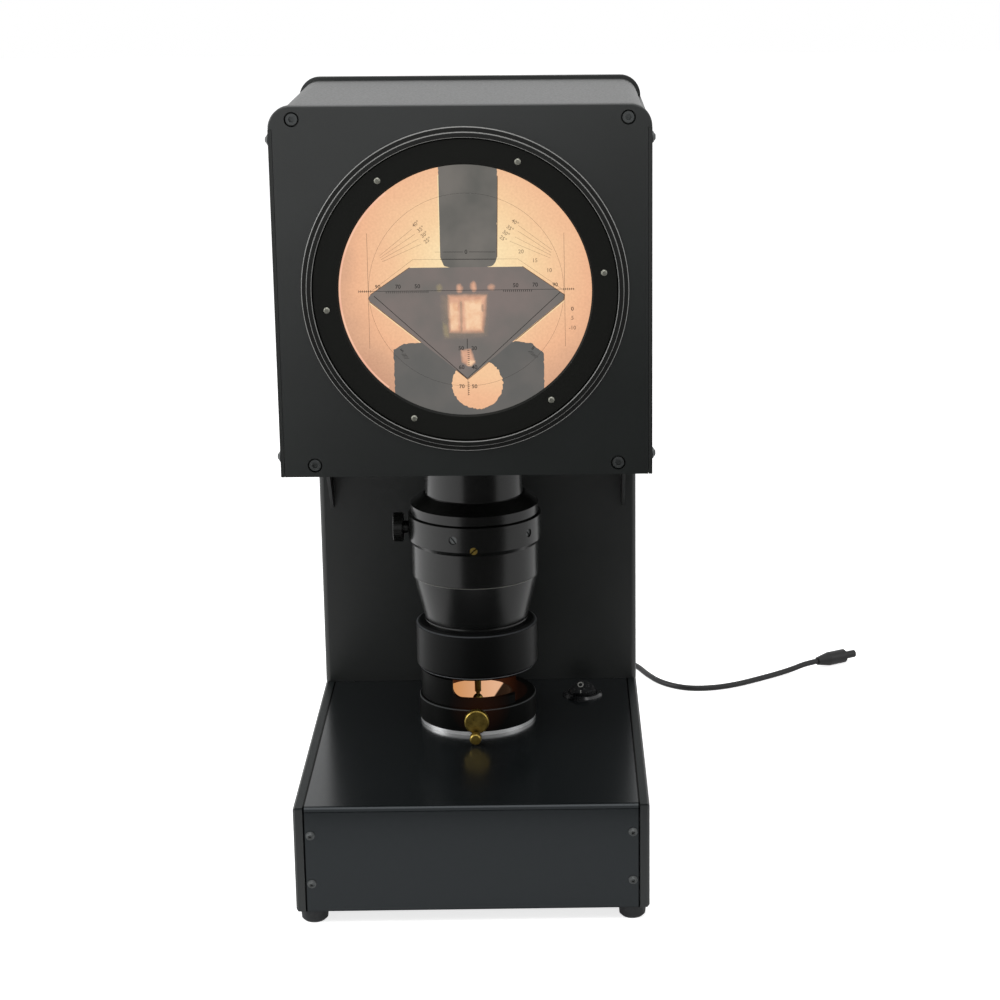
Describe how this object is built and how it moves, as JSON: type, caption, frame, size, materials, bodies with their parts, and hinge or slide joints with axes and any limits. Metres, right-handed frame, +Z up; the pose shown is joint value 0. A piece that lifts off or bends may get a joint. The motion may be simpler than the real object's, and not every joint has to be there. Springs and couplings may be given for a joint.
{
  "type": "diamond proportion scope",
  "caption": "Bench projector that throws a cut stone's outline onto a round scaled screen, with a lit stage, turning zoom ring, mirror head and box base.",
  "frame": {"origin": "on the table, under the middle of the base", "axes": "+Z up, -Y towards the user and the screen, +X to the user's right"},
  "size_m": [0.3747, 0.458, 0.4525],
  "materials": {
    "black_plate": "black anodised, fine satin",
    "black_gloss": "gloss black powder coat",
    "black_sheet": "satin black powder coat",
    "bare_aluminium": "mill finish",
    "black_screw": "black oxide",
    "steel_screw": "bright",
    "foot_rubber": "matte",
    "ring_anodised": "black anodised, turned",
    "screen_glass": "frosted, lit from behind",
    "mirror_silver": "front silvered",
    "bracket_sheet": "matte black",
    "barrel_anodised": "black anodised, turned",
    "carriage_anodised": "matte black anodised",
    "lens_glass": "polished, coated",
    "brass": "turned, lightly aged",
    "trim_polished": "polished",
    "liner_brass": "satin, warm lit",
    "post_steel": "dark",
    "knob_black": "black anodised, knurled",
    "board_green": "solder mask",
    "switch_black": "moulded",
    "lead_black": "PVC jacket"
  },
  "bodies": {
    "stand": {"barrel_collar": "barrel_anodised", "barrel_set_screws": "black_screw", "base_bottom_plate": "black_sheet", "base_cover": "black_gloss", "base_rear_panel": "black_sheet", "base_side_plate_left": "black_plate", "base_side_plate_right": "black_plate", "brass_screw": "brass", "cable_gland": "lead_black", "column_back_panel": "black_sheet", "column_channel": "black_sheet", "condenser_holder": "carriage_anodised", "condenser_lens": "lens_glass", "cord_coil": "lead_black", "cord_tube": "lead_black", "foot_screws": "steel_screw", "frame_bars": "bare_aluminium", "gusset_left": "black_sheet", "gusset_right": "black_sheet", "head_back_plate": "black_plate", "head_bottom_plate": "black_sheet", "head_cap_screws": "black_screw", "head_front_plate": "black_plate", "head_mount_screws": "black_screw", "head_side_panel_left": "black_sheet", "head_side_panel_right": "black_sheet", "head_tie_bars": "bare_aluminium", "head_top_cover": "black_sheet", "heat_sink": "bare_aluminium", "lamp_board": "board_green", "lens_barrel": "barrel_anodised", "lens_sleeve": "barrel_anodised", "mirror": "mirror_silver", "mirror_bracket": "bracket_sheet", "objective_lens": "lens_glass", "panel_screws": "black_screw", "plug": "lead_black", "power_board": "board_green", "rubber_feet": "foot_rubber", "screen_bezel": "ring_anodised", "screen_lock_ring": "ring_anodised", "side_panel_screws": "black_screw", "stage_chamber": "barrel_anodised", "stage_flange": "barrel_anodised", "stage_liner": "liner_brass", "stage_trim_ring": "trim_polished", "stone_post": "post_steel", "switch_housing": "switch_black", "upper_tube": "barrel_anodised"},
    "screen_ring": {"screen_carrier": "ring_anodised", "screen_glass": "screen_glass", "screen_retaining_ring": "ring_anodised", "ring_screws": "steel_screw"},
    "zoom_ring": {"zoom_ring": "barrel_anodised"},
    "lens_carriage": {"lens_carriage": "carriage_anodised", "zoom_lens": "lens_glass"},
    "clamp_knob": {"clamp_knob": "knob_black"},
    "stone_holder": {"stone_holder": "brass"},
    "lock_knob": {"lock_knob": "brass"},
    "switch_rocker": {"switch_rocker": "switch_black"}
  },
  "joints": [
    {"name": "screen_turn", "type": "hinge", "parent": "stand", "child": "screen_ring", "pos_m": [0.0011, -0.101, 0.353], "axis": [0, -1, 0], "range_deg": [-15, 15]},
    {"name": "zoom_turn", "type": "hinge", "parent": "stand", "child": "zoom_ring", "pos_m": [0, 0.011, 0.118], "axis": [0, 0, 1], "range_deg": [0, 120]},
    {"name": "lens_slide", "type": "slide", "parent": "stand", "child": "lens_carriage", "axis": [0, 0, 1], "range_m": [0, 0.008]},
    {"name": "clamp_turn", "type": "hinge", "parent": "stand", "child": "clamp_knob", "pos_m": [-0.0398, 0.011, 0.1906], "axis": [-1, 0, 0], "range_deg": [-180, 180]},
    {"name": "holder_slide", "type": "slide", "parent": "stand", "child": "stone_holder", "axis": [0, 1, 0], "range_m": [0, 0.006]},
    {"name": "lock_turn", "type": "hinge", "parent": "stand", "child": "lock_knob", "pos_m": [-0.0002, -0.0244, 0.0741], "axis": [0, -1, 0], "range_deg": [-180, 180]},
    {"name": "switch_rock", "type": "hinge", "parent": "stand", "child": "switch_rocker", "pos_m": [0.0644, 0.047, 0.0685], "axis": [1, 0, 0], "range_deg": [-28, 0]}
  ],
  "couplings": [
    {"joint": "lens_slide", "follows": "zoom_turn", "m_per_rad": 0.0038}
  ]
}
